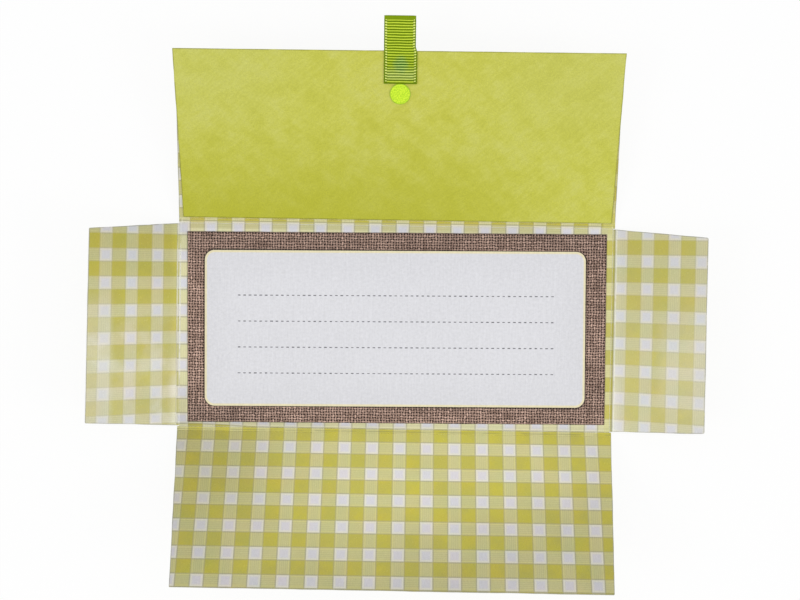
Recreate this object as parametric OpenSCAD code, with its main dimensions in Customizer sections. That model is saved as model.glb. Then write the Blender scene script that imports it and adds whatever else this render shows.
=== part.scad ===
// Gift envelope of gingham card, lying opened out with its inside up.
// The origin is the middle of the centre panel's outer face, x runs along the
// envelope, y towards the closing flap and z out of the inside face.

/* [Centre panel] */
// Width of the centre panel, from the middle of one side fold to the other
panel_w = 168; // [150:0.5:200]
// Height of the centre panel, from the middle of the bottom fold to the top one
panel_h = 80.5; // [76:0.5:100]
// Thickness of the gingham card
card_t = 0.3; // [0.2:0.05:0.5]

/* [Side flaps] */
// Reach of the side flaps from the middle of their fold, laid flat
side_flap_len = 36.8; // [25:0.2:45]
// Clearance between each end of a side flap and the top fold's strip, when closed
side_flap_clearance = 0.2; // [0.1:0.05:4]
// Amount by which each end of a side flap draws in by its free edge
side_flap_taper = 2.6; // [0.5:0.1:8]

/* [Bottom flap] */
// Reach of the bottom flap from the middle of its fold, laid flat
bottom_flap_len = 62.9; // [50:0.2:70]
// Amount by which each end of the bottom flap draws in by its free edge
bottom_flap_taper = 2.4; // [0:0.1:10]

/* [Top flap] */
// Reach of the closing flap from the middle of its fold, laid flat
top_flap_len = 65.9; // [60:0.2:72]
// Thickness of the lime liner sheet
liner_t = 0.2; // [0.1:0.05:0.3]
// Width by which the top flap stands out past the liner, at each end of the fold
liner_root_margin = 1.5; // [0:0.1:6]
// Width by which the liner stands out past the top flap, at each free corner
liner_overhang = 0.85; // [0:0.05:2]
// Distance from the outer score of the top fold to the liner
liner_set_back = 0.35; // [0.25:0.05:4]

/* [Folds] */
// Clearance between the layers of the closed envelope
fold_gap = 0.15; // [0.1:0.01:0.4]
// Clearance between a fold strip's round edge and the card beside it
score_gap = 0.03; // [0.01:0.01:0.1]

/* [Lift of the flaps as they lie] */
// Angle of the left flap above the panel's plane, in degrees
left_lift_angle = 33; // [2:0.5:85]
// Angle of the right flap above the panel's plane, in degrees
right_lift_angle = 28; // [2:0.5:85]
// Angle of the bottom flap above the panel's plane, in degrees
bottom_lift_angle = 29; // [2:0.5:85]
// Angle of the top flap above the panel's plane, in degrees
top_lift_angle = 13.5; // [2:0.5:85]

/* [Mat and label] */
// Thickness of the burlap mat
mat_t = 0.2; // [0.1:0.05:0.3]
// Width of panel that shows past each end of the mat
mat_end_margin = 3.2; // [2.5:0.1:10]
// Width of panel that shows past each long edge of the mat
mat_edge_margin = 3.55; // [2.5:0.05:8]
// Place of the mat's middle on the panel, along and across
mat_shift = [0.58, -0.48]; // [-1:0.01:1]
// Turn of the mat on the panel, in degrees
mat_turn = 0.35; // [-0.5:0.05:0.5]
// Thickness of the writing label
label_t = 0.15; // [0.1:0.05:0.3]
// Width of burlap that shows past each end of the label
label_end_margin = 7.2; // [4:0.1:30]
// Width of burlap that shows past each long edge of the label
label_edge_margin = 6.5; // [4:0.1:20]
// Radius of the label's corners
label_corner_r = 3.7; // [1:0.1:10]
// Place of the label's middle on the panel, along and across
label_shift = [-0.28, -0.47]; // [-1:0.01:1]
// Turn of the label on the panel, in degrees
label_turn = 0.53; // [-0.6:0.01:0.6]

/* [Adhesive tape] */
// Thickness of the adhesive tape under the mat, the label and the liner
tape_t = 0.1; // [0.05:0.01:0.2]
// Width of the adhesive tape
tape_w = 6; // [3:0.5:9]
// Distance from the tape to the edge of the sheet that it holds
tape_inset = 2; // [1:0.1:5]

/* [Ribbon tab] */
// Width of the ribbon
ribbon_w = 12; // [8:0.5:20]
// Thickness of the ribbon
ribbon_t = 0.35; // [0.2:0.05:0.6]
// Reach of the folded ribbon past the top flap's free edge
ribbon_out = 13; // [6:0.2:25]
// Length of ribbon that lies on each face of the top flap
ribbon_leg = 12; // [8:0.1:12.2]
// Place of the ribbon's middle along the flap's free edge
ribbon_shift = 0.4; // [-5:0.1:5]
// Thickness of the glue under each leg of the ribbon
glue_t = 0.1; // [0.05:0.01:0.2]
// Length of each glue dab, across the ribbon
glue_len = 7; // [4.5:0.1:7.8]
// Width of each glue dab
glue_w = 4.4; // [2:0.1:4.4]
// Distance from the flap's free edge to the middle of a glue dab
glue_from_edge = 4.6; // [3:0.1:7]

/* [Closure dots] */
// Diameter of the hook and loop dots
dot_d = 7.7; // [5:0.1:8]
// Height of each dot over its adhesive
dot_t = 0.4; // [0.3:0.05:0.8]
// Thickness of the adhesive under each dot
dot_glue_t = 0.1; // [0.05:0.01:0.2]
// Width of dot that stands out past its adhesive, all round
dot_rim = 0.3; // [0.1:0.05:0.6]
// Clearance between the ribbon's end and the hook dot
hook_gap = 0.25; // [0.1:0.05:6]
// Place of the dots' centres along the envelope
dot_shift = 0.58; // [-5:0.01:5]
// Angle by which the closed top flap rises over the dots, in degrees
closed_rise = 1.9; // [1.9:0.1:6]

/* [Hidden] */
$fn = 48;

// Depth of each fold: the closed envelope's side flaps lie on the mat and label,
// the bottom flap on the side flaps and the top flap on the bottom flap
insert_t = 2 * tape_t + mat_t + label_t;
side_fold_w = card_t + insert_t + fold_gap;
bottom_fold_w = side_fold_w + card_t + fold_gap;
top_fold_w = bottom_fold_w + fold_gap;

// Inner scores of the folds, from the panel's middle
side_score = (panel_w - side_fold_w) / 2;
bottom_score = (panel_h - bottom_fold_w) / 2;
top_score = (panel_h - top_fold_w) / 2;

// The card's edge stands this far from the middle of a score
card_edge = card_t / 2 + score_gap;

// Reach of each flap from its outer score, and its two widths
side_reach = side_flap_len - side_fold_w / 2;
side_root = 2 * (top_score - card_t / 2 - side_flap_clearance);
side_tip = side_root - 2 * side_flap_taper;
bottom_reach = bottom_flap_len - bottom_fold_w / 2;
bottom_tip = panel_w - 2 * bottom_flap_taper;
top_reach = top_flap_len - top_fold_w / 2;

// Mat and label on the panel
mat_w = panel_w - 2 * mat_end_margin;
mat_h = panel_h - 2 * mat_edge_margin;
label_w = mat_w - 2 * label_end_margin;
label_h = mat_h - 2 * label_edge_margin;
mat_z = card_t + tape_t;
label_z = mat_z + mat_t + tape_t;

// Liner on the top flap: heights are from the flap's middle plane
inner_face = card_t / 2;
liner_root = panel_w - 2 * liner_root_margin;
liner_tip = panel_w + 2 * liner_overhang;
liner_len = top_reach - liner_set_back;
liner_z = inner_face + tape_t;
liner_face = liner_z + liner_t;

// Ribbon folded over the top flap: the gap in it holds the flap and both dabs
ribbon_hold = card_t + tape_t + liner_t + 2 * glue_t;
ribbon_mid_z = (liner_face - inner_face) / 2;
ribbon_bend_r = ribbon_hold / 2 + ribbon_t;
ribbon_bend_x = top_reach + ribbon_out - ribbon_bend_r;
ribbon_end_x = top_reach - ribbon_leg;
glue_x = top_reach - glue_from_edge;

// The hook dot lies by the ribbon's end, and the loop dot where the hook dot lands
// on the closed bottom flap
hook_x = ribbon_end_x - hook_gap - dot_d / 2;
loop_x = bottom_score + top_score - hook_x * cos(closed_rise);
dot_glue_d = dot_d - 2 * dot_rim;

// Frame of a fold's inner score: x runs outward, y along the fold
module at_score(turn, score) {
    rotate([0, 0, turn]) translate([score, 0, card_t / 2]) children();
}

// Half of a flap's lift is taken at its inner score
module strip_frame(lift) {
    rotate([0, -lift / 2, 0]) children();
}

// The other half is taken at its outer score, a strip's width further out
module flap_frame(lift, fold_w) {
    strip_frame(lift) translate([fold_w, 0, 0]) strip_frame(lift) children();
}

module at_right_flap() {
    at_score(0, side_score) flap_frame(right_lift_angle, side_fold_w) children();
}

module at_left_flap() {
    at_score(180, side_score) flap_frame(left_lift_angle, side_fold_w) children();
}

module at_bottom_flap() {
    at_score(-90, bottom_score) flap_frame(bottom_lift_angle, bottom_fold_w) children();
}

module at_top_flap() {
    at_score(90, top_score) flap_frame(top_lift_angle, top_fold_w) children();
}

// Strip of card between two scores, with a round edge on each score's axis
module fold_strip(fold_w, length) {
    rotate([90, 0, 0]) linear_extrude(length, center = true) {
        translate([0, -card_t / 2]) square([fold_w, card_t]);
        circle(d = card_t);
        translate([fold_w, 0]) circle(d = card_t);
    }
}

// Sheet whose width changes evenly from its fold to its free edge
module tapered_sheet(start, reach, root, tip, thickness) {
    linear_extrude(thickness)
        polygon([[start, -root / 2], [reach, -tip / 2], [reach, tip / 2], [start, root / 2]]);
}

module card_flap(reach, root, tip) {
    translate([0, 0, -card_t / 2]) tapered_sheet(card_edge, reach, root, tip, card_t);
}

module back_panel() {
    panel_x = side_score - card_edge;
    color("yellowgreen") linear_extrude(card_t) polygon([
        [-panel_x, card_edge - bottom_score], [panel_x, card_edge - bottom_score],
        [panel_x, top_score - card_edge], [-panel_x, top_score - card_edge]
    ]);
}

module left_fold() {
    color("olivedrab") at_score(180, side_score) strip_frame(left_lift_angle)
        fold_strip(side_fold_w, side_root);
}

module right_fold() {
    color("olivedrab") at_score(0, side_score) strip_frame(right_lift_angle)
        fold_strip(side_fold_w, side_root);
}

module bottom_fold() {
    color("olivedrab") at_score(-90, bottom_score) strip_frame(bottom_lift_angle)
        fold_strip(bottom_fold_w, panel_w);
}

module top_fold() {
    color("olivedrab") at_score(90, top_score) strip_frame(top_lift_angle)
        fold_strip(top_fold_w, panel_w);
}

module left_flap() {
    color("yellowgreen") at_left_flap() card_flap(side_reach, side_root, side_tip);
}

module right_flap() {
    color("yellowgreen") at_right_flap() card_flap(side_reach, side_root, side_tip);
}

module bottom_flap() {
    color("yellowgreen") at_bottom_flap() card_flap(bottom_reach, panel_w, bottom_tip);
}

module top_flap() {
    color("yellowgreen") at_top_flap() card_flap(top_reach, panel_w, panel_w);
}

// Two long strips of tape along a sheet's long edges, tape_inset in from them
module tape_pair(w, h) {
    strip_w = w - 2 * tape_inset;
    strip_y = h / 2 - tape_inset - tape_w / 2;
    for (side = [-1, 1])
        translate([-strip_w / 2, side * strip_y - tape_w / 2, 0]) cube([strip_w, tape_w, tape_t]);
}

// Two short strips between the long ones
module tape_ends(w, h) {
    strip_h = h - 4 * tape_inset - 2 * tape_w;
    strip_x = w / 2 - tape_inset - tape_w / 2;
    for (side = [-1, 1])
        translate([side * strip_x - tape_w / 2, -strip_h / 2, 0]) cube([tape_w, strip_h, tape_t]);
}

module mat_tape() {
    color("ivory") translate([mat_shift.x, mat_shift.y, card_t]) rotate(mat_turn) {
        tape_pair(mat_w, mat_h);
        tape_ends(mat_w, mat_h);
    }
}

module burlap_mat() {
    color("rosybrown") translate([mat_shift.x, mat_shift.y, mat_z]) rotate(mat_turn)
        translate([-mat_w / 2, -mat_h / 2, 0]) cube([mat_w, mat_h, mat_t]);
}

module label_tape() {
    color("ivory") translate([label_shift.x, label_shift.y, mat_z + mat_t]) rotate(label_turn) {
        tape_pair(label_w, label_h);
        tape_ends(label_w, label_h);
    }
}

// Rectangle with four true round corners
module round_rectangle(w, h, r) {
    square([w - 2 * r, h], center = true);
    square([w, h - 2 * r], center = true);
    for (x = [-1, 1])
        for (y = [-1, 1])
            translate([x * (w / 2 - r), y * (h / 2 - r)]) circle(r);
}

module writing_label() {
    color("ghostwhite") translate([label_shift.x, label_shift.y, label_z]) rotate(label_turn)
        linear_extrude(label_t) round_rectangle(label_w, label_h, label_corner_r);
}

module flap_liner() {
    color("yellowgreen") at_top_flap() translate([0, 0, liner_z])
        tapered_sheet(liner_set_back, top_reach, liner_root, liner_tip, liner_t);
}

// Tape round the liner's edges, on the card of the top flap
module liner_tape() {
    color("ivory") at_top_flap()
        translate([(liner_set_back + top_reach) / 2, 0, inner_face]) rotate(90) {
            tape_pair(liner_root, liner_len);
            tape_ends(liner_root, liner_len);
        }
}

// Ribbon folded double over the flap's free edge
module ribbon_tab() {
    color("greenyellow") at_top_flap() translate([0, -ribbon_shift, ribbon_mid_z])
        rotate([90, 0, 0]) linear_extrude(ribbon_w, center = true) difference() {
            ribbon_outline(ribbon_bend_r);
            ribbon_outline(ribbon_hold / 2);
        }
}

module ribbon_outline(r) {
    translate([ribbon_end_x, -r]) square([ribbon_bend_x - ribbon_end_x, 2 * r]);
    translate([ribbon_bend_x, 0]) circle(r);
}

// Dab of glue with round ends, lying across the ribbon
module glue_dab() {
    dab_y = (glue_len - glue_w) / 2;
    linear_extrude(glue_t) {
        translate([-glue_w / 2, -dab_y]) square([glue_w, 2 * dab_y]);
        for (side = [-1, 1])
            translate([0, side * dab_y]) circle(d = glue_w);
    }
}

module ribbon_glue() {
    color("darkseagreen") at_top_flap() {
        translate([glue_x, -ribbon_shift, liner_face]) glue_dab();
        translate([glue_x, -ribbon_shift, -inner_face - glue_t]) glue_dab();
    }
}

module hook_dot_adhesive() {
    color("honeydew") at_top_flap() translate([hook_x, -dot_shift, liner_face])
        cylinder(h = dot_glue_t, d = dot_glue_d);
}

module hook_dot() {
    color("chartreuse") at_top_flap() translate([hook_x, -dot_shift, liner_face + dot_glue_t])
        cylinder(h = dot_t, d = dot_d);
}

module loop_dot_adhesive() {
    color("honeydew") at_bottom_flap() translate([loop_x, dot_shift, -inner_face - dot_glue_t])
        cylinder(h = dot_glue_t, d = dot_glue_d);
}

module loop_dot() {
    loop_z = -inner_face - dot_glue_t - dot_t;
    color("chartreuse") at_bottom_flap() translate([loop_x, dot_shift, loop_z])
        cylinder(h = dot_t, d = dot_d);
}

back_panel();
left_fold();
right_fold();
bottom_fold();
top_fold();
left_flap();
right_flap();
bottom_flap();
top_flap();
mat_tape();
burlap_mat();
label_tape();
writing_label();
liner_tape();
flap_liner();
ribbon_glue();
ribbon_tab();
hook_dot_adhesive();
hook_dot();
loop_dot_adhesive();
loop_dot();
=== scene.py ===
# Gift envelope of gingham card, lying opened out with its inside up.
# Lengths are written in millimetres and turned into metres when a piece is placed.
import math
import bpy
import bmesh
from mathutils import Matrix, Vector, noise


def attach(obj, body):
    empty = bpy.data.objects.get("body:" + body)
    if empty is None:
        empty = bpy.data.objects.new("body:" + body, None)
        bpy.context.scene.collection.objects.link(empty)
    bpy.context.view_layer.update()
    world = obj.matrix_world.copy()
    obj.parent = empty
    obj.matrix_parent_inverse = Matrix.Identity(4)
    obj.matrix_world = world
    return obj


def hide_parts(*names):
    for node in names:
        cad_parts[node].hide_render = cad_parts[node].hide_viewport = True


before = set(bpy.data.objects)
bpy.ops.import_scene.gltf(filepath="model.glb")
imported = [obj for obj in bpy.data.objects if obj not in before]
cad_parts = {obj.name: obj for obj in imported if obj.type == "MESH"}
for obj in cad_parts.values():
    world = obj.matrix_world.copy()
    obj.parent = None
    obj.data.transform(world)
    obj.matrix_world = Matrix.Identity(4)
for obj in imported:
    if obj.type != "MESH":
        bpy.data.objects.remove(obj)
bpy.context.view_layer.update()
millimetres = Matrix.Scale(0.001, 4)


def operation(kind, flipped=False):  # a method that puts one sum on the board
    def method(self, other=0.0):
        first, second = (other, self) if flipped else (self, other)
        return self.board.node("ShaderNodeMath", {0: first, 1: second}, operation=kind)
    return method


class Wire:  # a socket that can be used in sums
    def __init__(self, board, node, key=0):
        self.board, self.made = board, node
        self.socket = node.outputs[key] if node.outputs else None

    def out(self, key):  # another output of the same node
        return Wire(self.board, self.made, key)

    __add__, __radd__ = operation("ADD"), operation("ADD", True)
    __sub__, __rsub__ = operation("SUBTRACT"), operation("SUBTRACT", True)
    __mul__, __rmul__ = operation("MULTIPLY"), operation("MULTIPLY", True)
    __truediv__, __pow__, __abs__ = operation("DIVIDE"), operation("POWER"), operation("ABSOLUTE")
    __lt__, __gt__ = operation("LESS_THAN"), operation("GREATER_THAN")
    part, sine = operation("FRACT"), operation("SINE")
    least, most = operation("MINIMUM"), operation("MAXIMUM")


class Board:  # one node tree, for a finish or for geometry
    def __init__(self, tree):
        self.tree = tree

    def node(self, kind, sockets=None, out=0, **settings):
        made = self.tree.nodes.new(kind)
        for key, value in settings.items():
            setattr(made, key, value)
        for key, value in (sockets or {}).items():
            if isinstance(value, Wire):
                self.tree.links.new(value.socket, made.inputs[key])
            else:
                made.inputs[key].default_value = value
        return Wire(self, made, out)

    def mix(self, factor, first, second, blend="MIX"):
        return self.node("ShaderNodeMix", {0: factor, 6: first, 7: second}, 2, data_type="RGBA", blend_type=blend)

    def smooth(self, value, low, high):  # 0 at low, 1 at high, either way round
        return self.node("ShaderNodeMapRange", {"Value": value, "From Min": low, "From Max": high},
                         interpolation_type="SMOOTHSTEP")

    def grain(self, vector, scale, detail=2.0, rough=0.5):
        return self.node("ShaderNodeTexNoise", {
            "Vector": vector, "Scale": scale, "Detail": detail, "Roughness": rough})

    def flutter(self, vector, scale, detail, amount):  # a grain that swings about nought
        return (self.grain(vector, scale, detail) - 0.5) * amount

    def flutters(self, vector, table):  # each with its scale, detail and amount
        return sum(self.flutter(vector, *grain) for grain in table)

    def spots(self, vector, scale, detail, low, high, rough=0.5):  # a grain cleared up into spots
        return self.smooth(self.grain(vector, scale, detail, rough), low, high)

    def worn(self, vector, inwards, scale, window):  # painted shade in spots along the sheet's cut edge
        return self.smooth(self.edge(), *inwards) * self.spots(vector, scale, 3.0, *window)

    def stretched(self, vector, turn, scale):  # coordinates for a grain drawn out along a direction
        return self.node("ShaderNodeMapping", {
            "Vector": vector, "Rotation": (0, 0, math.radians(turn)), "Scale": tuple(1 / c for c in scale)},
            vector_type="TEXTURE")

    def line(self, value, at, width):  # 1 on a line of this width, 0 beside it
        return self.smooth(abs(value - at), width * 0.75, width * 0.3)

    def edge(self):  # distance in from the sheet's cut edge
        _, parts, second, _ = self.place("edgeIn")
        return parts.least(second)

    def place(self, name="sheetPlace"):  # a piece's own coordinates, in millimetres
        vector = self.node("ShaderNodeAttribute", out="Vector", attribute_name=name)
        parts = self.node("ShaderNodeSeparateXYZ", {0: vector})
        return vector, parts, parts.out(1), parts.out(2)

    def triple(self, *parts):  # three values as one vector
        return self.node("ShaderNodeCombineXYZ", dict(enumerate(parts)))

    def patch(self, axes, level, windows):  # each window goes from 0 to 1 between two places on an axis
        for axis, low, high in windows:
            level = self.smooth(axes[axis], low, high) * level
        return level

    def patches(self, axes, table):
        found = [self.patch(axes, level, windows) for level, *windows in table]
        return sum(found[1:], found[0])

    def marks(self, axes, table):  # lines, each with its level, axis, place and width
        found = [self.line(axes[axis], at, width) * self.patch(axes, level, windows)
                 for level, axis, at, width, *windows in table]
        return sum(found[1:], found[0])


def tint(red, green, blue):  # a screen colour as the shader wants it
    return tuple(((c / 255 + 0.055) / 1.055) ** 2.4 if c > 10 else c / 255 / 12.92
                 for c in (red, green, blue)) + (1.0,)


def tints(hues):  # a table of screen colours the same way
    return {key: tint(*hue) for key, hue in hues.items()}


def bareBoard(owner):  # an empty node tree of a material or world
    owner.use_nodes = True
    owner.node_tree.nodes.clear()
    return Board(owner.node_tree)


def newFinish(name, roughness, specular=0.4):
    material = bpy.data.materials.new(name)
    board = bareBoard(material)
    surface = board.node("ShaderNodeBsdfPrincipled", {"Specular IOR Level": specular, "Roughness": roughness})
    board.node("ShaderNodeOutputMaterial", {"Surface": surface})
    board.material, board.surface = material, surface.made
    return board


def layers(board, colour, hue, *coats):  # colours laid over each other, each by its share
    for share, key in coats:
        colour = board.mix(share, colour, hue[key])
    return colour


def shaded(board, colour, *shades):  # a colour times one shade, or one for each channel
    grey = board.node("ShaderNodeCombineColor", dict(enumerate(shades * (3 // len(shades)))))
    return board.mix(1.0, colour, grey, "MULTIPLY")


def finished(board, colour, height, strength, depth=0.00002, rough=None):  # depth of the bump, in metres
    bump = board.node("ShaderNodeBump", {"Height": height, "Strength": strength, "Distance": depth},
                      out="Normal")
    for key, wire in (("Base Color", colour), ("Normal", bump), ("Roughness", rough)):
        if wire:
            board.tree.links.new(wire.socket, board.surface.inputs[key])
    return board.material


# Finishes. A patch is a level and its windows. A mark is a level, an axis, a place, a width and its windows.

gingham = {
    "period": 10.566, "share": 0.545, "columnAt": -3.037, "rowAt": 0.268, "soft": 0.009, "softer": 0.022,
    "foldAt": 84.5, "panelHalf": (83, 39.6), "belowAt": -40.9, "scoreHalf": (84.1, 39.3),
    "rim": (0.125, 0.02), "rimInside": (0.14, 0.0), "border": (-0.014, 0.05), "outside": (0.035, 0.06),
    "grains": ((0.06, 2.0, 0.14), (2.4, 2.0, 0.20)),
    "hatch": 8.7, "fineGrain": (2.3, 0.5, 1), "slant": 0.2, "leftMargin": -80.6, "rightMargin": 81.2,
    "cornerFrom": (79.5, 39.6), "belowShade": 0.18, "sideShade": 0.062, "shineMost": 0.7,
    "hues": {
        "white": (217, 217, 222), "whiteBelow": (219, 216, 221), "whiteRim": (226, 222, 204),
        "whitePanel": (225, 224, 231), "singleRim": (208, 200, 119), "border": (158, 155, 142),
        "single": (201, 197, 135), "singleWarm": (206, 200, 141), "singlePanel": (225, 221, 173),
        "cross": (191, 183, 73), "crossWarm": (199, 189, 61), "crossFull": (190, 181, 38),
        "shine": (236, 233, 220), "margin": (216, 210, 126), "light": (250, 250, 236),
        "worn": (158, 158, 146), "dark": (118, 116, 74),
    },
    # print that the creases take up, and its skew on the left flap
    "taken": ((0.5, ("v", 38.6, 39.6), ("v", 43.5, 42.0)),
              (0.95, ("v", -41.2, -40.2), ("v", -36.0, -38.2), ("u", -48.0, -80.0)),
              (0.3, ("u", -84.49, -84.51), ("v", 20.0, -32.0)), (0.3, ("u", 84.49, 84.51), ("v", -36.0, -20.0))),
    "askew": ((0.016, ("u", -84.5, -112.0)),),
    "fuller": ((0.6, ("v", 2.0, 16.0)),), "topMargin": ((0.75, ("v", 36.6, 38.0)),),
    # painted light and shade: the open bottom flap is painted lightest near its fold, right of the middle, and darker
    # elsewhere
    "bottomLitPatch": ((0.30, ("u", -78.0, -8.0), ("slant", -106.0, -60.0)),
              (-0.105, ("u", 35.0, 85.0), ("slant", -106.0, -60.0))),
    # the side flaps have a painted mottled sheen, most on the left one's lower end, and a painted pale glare near their
    # tips
    "mottle": ((1.0, ("u", 1, -1), ("v", 14.0, -12.0)),),
    "plainEnd": ((0.6, ("v", -18.0, -32.0), ("u", -93.0, -98.0)),),
    "sheen": ((0.42, ("u", 1, -1), ("v", 2.0, -24.0), ("u", -89.0, -85.4)), (0.05, ("u", -1, 1)),
              (0.09, ("u", 107.0, 115.0)), (0.06, ("u", -1, 1), ("u", 92.0, 84.4)),
              (0.26, ("u", -1, 1), ("u", 92.0, 84.4), ("v", -10.0, -26.0))),
    "tipGlare": ((0.27, ("u", -109.5, -112.5), ("v", 22.0, 0.0)),
              (0.13, ("u", 100.5, 105.0), ("v", 12.0, 0.0), ("v", -34.0, -22.0))),
    # painted shade on the side flaps, more towards the left one's ends
    "sideShadePatches": ((0.03, ("v", -10.0, -26.0)), (0.085, ("u", 1, -1), ("v", 8.0, 34.0)),
                 (0.06, ("u", 1, -1), ("v", -20.0, -34.0)), (0.012, ("u", -1, 1))),
    "corner": ((0.6, ("v", 50.0, 44.0)),),
    # painted shade: the panel's top and bottom margins round the mat are painted darker than its left one, and the left
    # one darker towards its ends
    "shadePatches": ((0.13, ("v", 36.6, 37.8), ("u", 72.0, 52.0)), (0.11, ("v", -37.0, -38.0)),
             (0.14, ("v", -37.0, -38.0), ("u", 14.0, -70.0))),
    "leftEndShade": ((0.20, ("v", -17.0, -33.0)), (0.13, ("v", 20.0, 33.0))),
    # score lines, with painted highlights on their beads and painted shade in their grooves and along a broken line at
    # the bottom fold
    "light": ((0.12, "left", -84.58, 0.5), (0.6, "left", -84.58, 0.5, ("v", -12.0, 6.0), ("v", 36.0, 24.0)),
              (0.95, "left", -83.4, 0.62, ("v", -28.0, -16.0), ("v", 36.0, 24.0)),
              (0.9, "u", 84.72, 0.65), (0.3, "u", 83.3, 0.4)),
    "dark": ((0.22, "u", -84.1, 0.4), (0.32, "right", 84.0, 0.5)),
    "crack": ((0.36, "low", -40.45, 0.36),), "folded": ((0.30, "v", 41.0, 1.0),),
    "creases": ((0.07, "v", 41.0, 0.9), (-0.09, "v", 40.05, 0.5), (0.05, "v", -40.95, 0.7),
                (0.06, "near", -39.75, 0.5), (0.07, "v", -38.95, 0.7)),
    "yellowEnd": ((0.14, ("u", -38.0, -72.0), ("v", -88.0, -60.0)),), "linerBounce": ((0.20, ("v", 39.0, 40.3)),),
}


def ginghamPrint(name):
    board = newFinish(name, 0.5, 0.6)
    place, u, v, _ = board.place()
    look, hue, half = gingham, tints(gingham["hues"]), gingham["share"] / 2
    wander = board.flutter(place, 0.55, 2.0, 0.22)
    axes = {"u": u, "v": v, "slant": v - look["slant"] * u, "left": u + wander * 0.5, "right": u + wander * 0.3,
            "low": v + wander * 1.6, "near": v + wander}

    def patch(key):
        return board.patches(axes, look[key])

    def marks(key):
        return board.marks(axes, look[key])

    def around(key):  # a line along the stripes' edges
        off, width = look[key]
        return board.line(acrossU, half + off, width).most(board.line(acrossV, half + off, width))

    outer, upper = abs(u), abs(v)
    aside, below = outer > look["foldAt"], v < look["belowAt"]
    middle = (outer < look["panelHalf"][0]) * (upper < look["panelHalf"][1])
    across, between = outer < look["scoreHalf"][0], upper < look["scoreHalf"][1]
    soft = look["soft"] + look["softer"] * aside
    acrossU, acrossV = (abs(((at - start) / look["period"] + 0.5).part() - 0.5) for at, start in (
        (u - patch("askew") * v, look["columnAt"]), (v - patch("taken"), look["rowAt"])))
    column, row = (board.smooth(off, half + soft, half - soft) for off in (acrossU, acrossV))
    both = column * row

    # whites are warmer along their rims, and stripes fuller just inside theirs
    rim = board.smooth((acrossU - half).least(acrossV - half), *look["rim"])
    white = layers(board, hue["white"], hue, (below, "whiteBelow"), (middle * 0.8, "whitePanel"), (rim, "whiteRim"))
    warmth = board.smooth(board.grain(place, 0.14, 3.0) * 0.6 + board.grain(place, 0.03, 1.0) * 0.4, 0.42, 0.6)
    cross = layers(board, hue["cross"], hue, (warmth, "crossWarm"), (aside * patch("fuller"), "crossFull"))
    inside = board.smooth(acrossU.most(acrossV) - half, *look["rimInside"]) * (1 - middle)
    single = layers(board, hue["single"], hue, (board.spots(place, 0.024, 2.0, 0.36, 0.62), "singleWarm"),
                    (inside * 0.5, "singleRim"), (middle * (1 - patch("topMargin")), "singlePanel"))
    colour = board.mix(both, board.mix(column.most(row), white, single), cross)

    hatch = (v * look["hatch"]).sine() * column * (1 - row) + (u * look["hatch"]).sine() * row * (1 - column)
    shade = 1 + 0.045 * hatch + 0.055 * around("outside") * (1 - both) * (1 - 0.75 * aside)
    shade = shade + board.flutter(board.stretched(place, 0, look["fineGrain"]), 1.0, 1.0, 0.12)
    shade = shade + board.flutters(place, look["grains"])
    # painted light and shade: a lit patch on the bottom flap, lines at the creases, shade on the side flaps and round
    # the panel's margins
    shade = shade + below * (patch("bottomLitPatch") - look["belowShade"]) + marks("creases") * across
    shade = shade - board.smooth(outer, look["foldAt"], 88.0) * (look["sideShade"] + patch("sideShadePatches"))
    shade = shade - middle * patch("shadePatches").most((u < look["leftMargin"]) * patch("leftEndShade"))
    # painted sheen on the side flaps, mottled, with painted glare near their tips
    blot = board.spots(place, 0.09, 3.0, 0.45, 0.62)
    shine = patch("mottle") * (0.05 + 0.25 * blot) * (1 - patch("plainEnd")) + patch("sheen")
    shine = shine * (1 - 0.5 * both) * board.smooth(outer, 84.4, 84.6) + patch("tipGlare")
    corner = (u > look["cornerFrom"][0]) * (v > look["cornerFrom"][1]) * patch("corner")
    margin = (u > look["rightMargin"]) * middle * 0.4

    # painted highlights on the score lines' beads and painted shade in their grooves
    level = (0.55 + 0.9 * board.spots(place, 0.35, 3.0, 0.3, 0.6)).least(1.0) * between
    light = marks("light") * level + marks("folded") * (1 - both) * across
    dark = marks("dark") * between + marks("crack") * across * board.spots(place, 0.10, 3.0, 0.40, 0.52)
    # painted sheen, painted crease highlights and shade, and painted shade along the cut edge are laid over the print
    # here
    colour = layers(board, colour, hue, (around("border") * (0.5 - 0.25 * both - 0.2 * aside), "border"),
                    (shine.least(look["shineMost"]), "shine"), (margin.most(corner), "margin"),
                    (light.least(1.0) * 0.68, "light"),
                    (board.worn(place, (0.46, 0.16), 0.28, (0.26, 0.5)) * 0.75, "worn"), (dark.least(1.0), "dark"))
    # pinker and greener patches, painted yellow light bounced from the liner along the top fold, and yellower colour at
    # the bottom flap's left end
    pink = board.flutter(place, 0.11, 2.0, 0.15)
    yellow = below * patch("yellowEnd") + (outer < 84) * patch("linerBounce")
    colour = shaded(board, colour, shade + pink - yellow * 0.25, shade - yellow * 0.3, shade - yellow)
    return finished(board, colour, board.grain(place, 5.0, 3.0, 0.6), 0.35,
                    rough=0.21 + 0.10 * board.grain(place, 0.8, 3.0))


lime = {
    "tilt": 32, "centre": 200,
    # turn from the tilt, stretch, detail and roughness
    "streak": (0, (0.04, 0.13, 1), 4.0, 0.6), "brush": (8, (0.22, 0.75, 1), 3.0, 0.6),
    "blotch": (-70, (0.10, 0.16, 1), 4.0, 0.62),
    "hues": {"base": (202, 203, 83), "pale": (206, 207, 104), "deep": (195, 196, 69), "low": (182, 183, 44),
             "corner": (199, 201, 114)},
    "corner": ((0.26, ("aside", 18.0, 66.0), ("v", 15.0, 55.0)),),
    # fuller in colour towards the fold, most on the left and in the middle
    "drift": ((0.9, ("ragged", 48.0, -6.0), ("u", 275.0, 205.0)),),
}


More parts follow.
